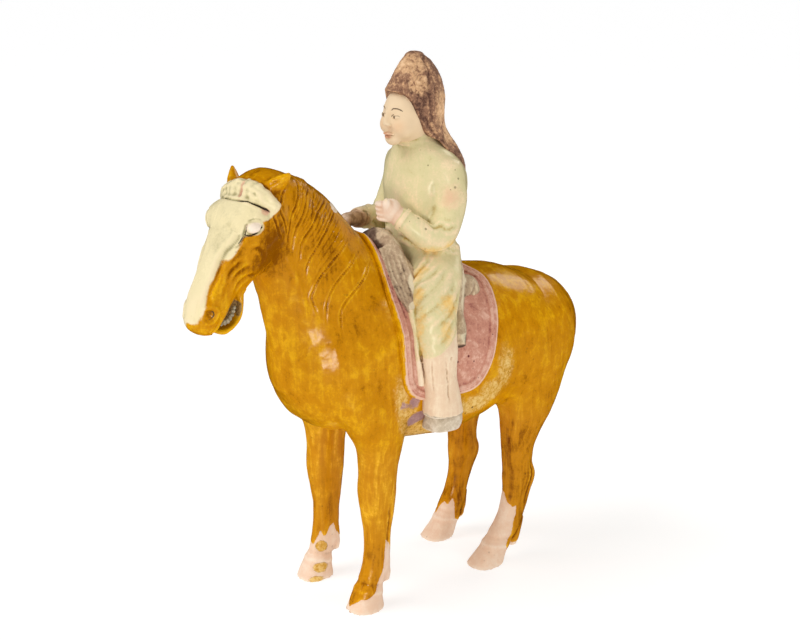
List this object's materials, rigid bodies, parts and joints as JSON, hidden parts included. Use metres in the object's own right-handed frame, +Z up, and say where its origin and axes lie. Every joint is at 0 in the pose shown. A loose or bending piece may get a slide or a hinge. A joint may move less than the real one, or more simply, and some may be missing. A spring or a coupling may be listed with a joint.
{
  "type": "glazed pottery horse and rider tomb figure",
  "caption": "Pottery tomb figure of a standing horse with a hooded rider in the saddle, amber glazed with matte harness and worn patina, resting on its hooves.",
  "frame": {"origin": "on the surface the hooves stand on, below the middle of the figure's bounding box", "axes": "+Z up; the horse faces -Y; +X is the horse's left side"},
  "size_m": [0.1462, 0.3513, 0.3998],
  "materials": {
    "glaze": "amber lead glaze over buff pottery, with matte unglazed harness, hood and lower legs, worn and speckled"
  },
  "bodies": {
    "root": {"horse_and_rider": "glaze"}
  },
  "joints": []
}
